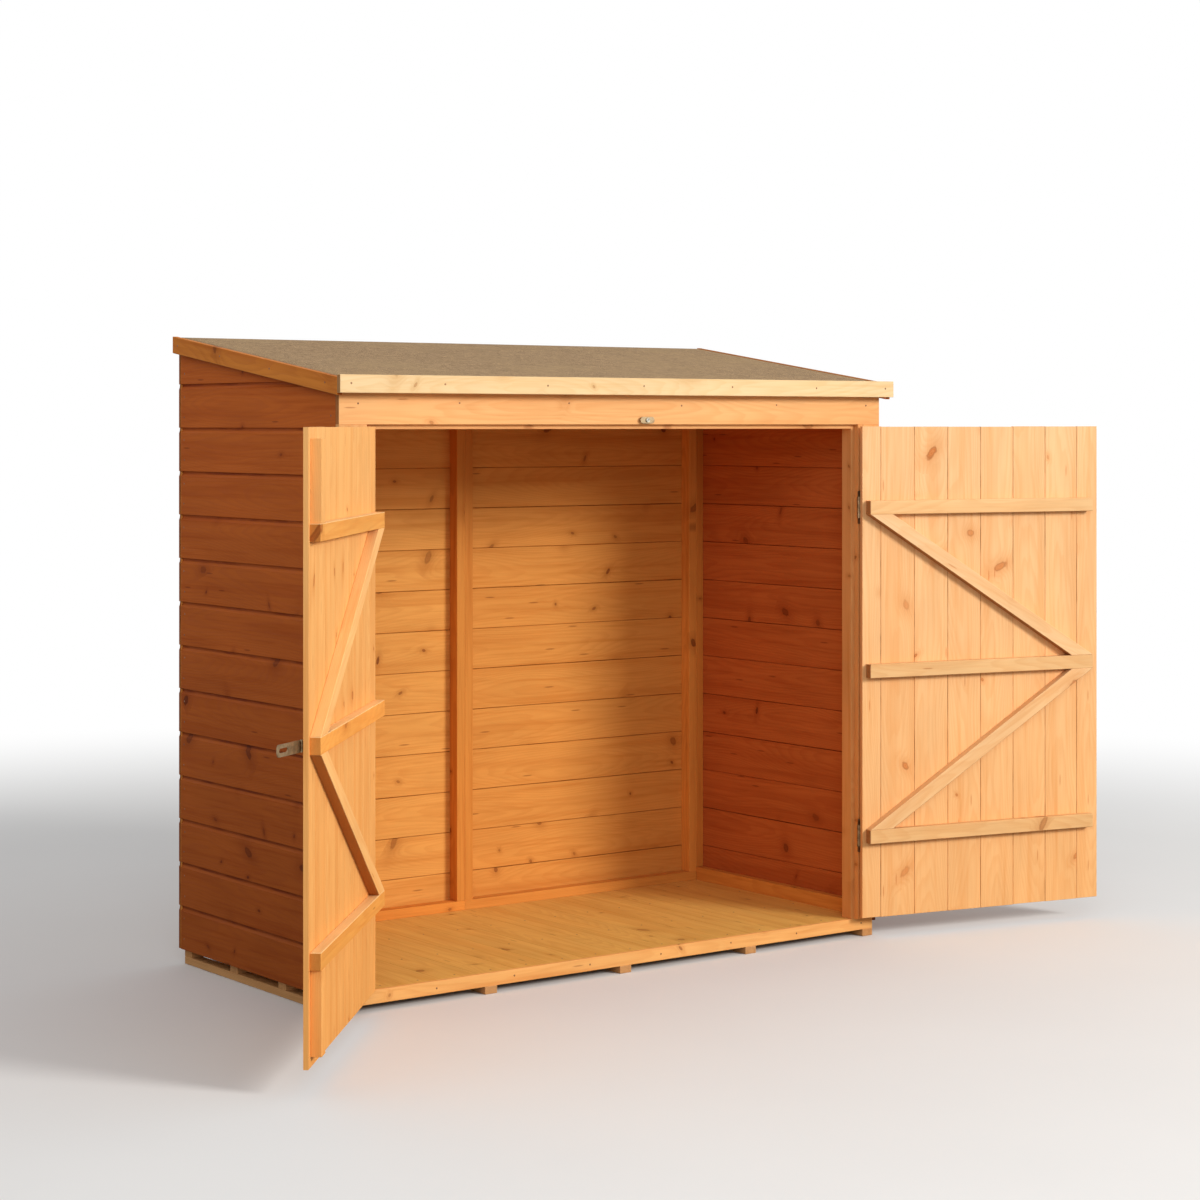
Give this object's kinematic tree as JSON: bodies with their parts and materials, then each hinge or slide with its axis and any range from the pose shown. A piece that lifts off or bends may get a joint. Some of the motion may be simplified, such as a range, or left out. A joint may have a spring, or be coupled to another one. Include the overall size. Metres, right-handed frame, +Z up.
{
  "type": "bike shelter",
  "caption": "Small shiplap timber bike shelter with a felted mono-pitch roof, a boarded floor and double ledged and braced doors standing open.",
  "frame": {"origin": "on the ground under the middle of the shed's floor plan, on the underside of the middle bearer", "axes": "+Z up, +X to the right of someone facing the doors, -Y out through the doors"},
  "size_m": [3.1129, 1.5244, 1.7342],
  "materials": {
    "timber": "softwood with an orange-brown preservative stain",
    "felt": "mineral roofing felt, grey-brown",
    "zinc": "zinc-plated pressed steel"
  },
  "bodies": {
    "shed": {"floor_bearers": "timber", "floor_joists": "timber", "floor_deck": "timber", "floor_front_board": "timber", "left_wall_cladding": "timber", "right_wall_cladding": "timber", "back_wall_cladding_left": "timber", "back_wall_cladding_right": "timber", "left_wall_rails": "timber", "left_wall_studs": "timber", "right_wall_rails": "timber", "right_wall_studs": "timber", "back_wall_rails": "timber", "back_wall_studs": "timber", "front_post_left": "timber", "front_post_right": "timber", "front_rails": "timber", "corner_board_left": "timber", "corner_board_right": "timber", "header_board": "timber", "roof_boards": "timber", "roof_rafters": "timber", "fascia_left": "timber", "fascia_right": "timber", "fascia_front": "timber", "roof_felt": "felt", "left_hinge_plates": "zinc", "right_hinge_plates": "zinc", "turn_button_screw": "zinc"},
    "left_door": {"left_door_boards": "timber", "left_door_ledges": "timber", "left_door_braces": "timber", "left_door_straps": "zinc", "hasp_leaf": "zinc"},
    "right_door": {"right_door_boards": "timber", "right_door_ledges": "timber", "right_door_braces": "timber", "right_door_straps": "zinc", "hasp_staple": "zinc"},
    "hasp_flap": {"hasp_flap": "zinc"},
    "turn_button": {"turn_button": "zinc"}
  },
  "joints": [
    {"name": "left_door_hinge", "type": "hinge", "parent": "shed", "child": "left_door", "pos_m": [-0.83, -0.442, 0.776], "axis": [0, 0, -1], "range_deg": [-132, 48]},
    {"name": "right_door_hinge", "type": "hinge", "parent": "shed", "child": "right_door", "pos_m": [0.83, -0.442, 0.776], "axis": [0, 0, 1], "range_deg": [-169, 11]},
    {"name": "hasp_flap_hinge", "type": "hinge", "parent": "left_door", "child": "hasp_flap", "pos_m": [-1.37508, -1.04588, 0.77777], "axis": [0, 0, -1], "range_deg": [-17, 150]},
    {"name": "turn_button_pivot", "type": "hinge", "parent": "shed", "child": "turn_button", "pos_m": [0.055, -0.444, 1.503], "axis": [0, -1, 0], "range_deg": [-90, 90]}
  ]
}
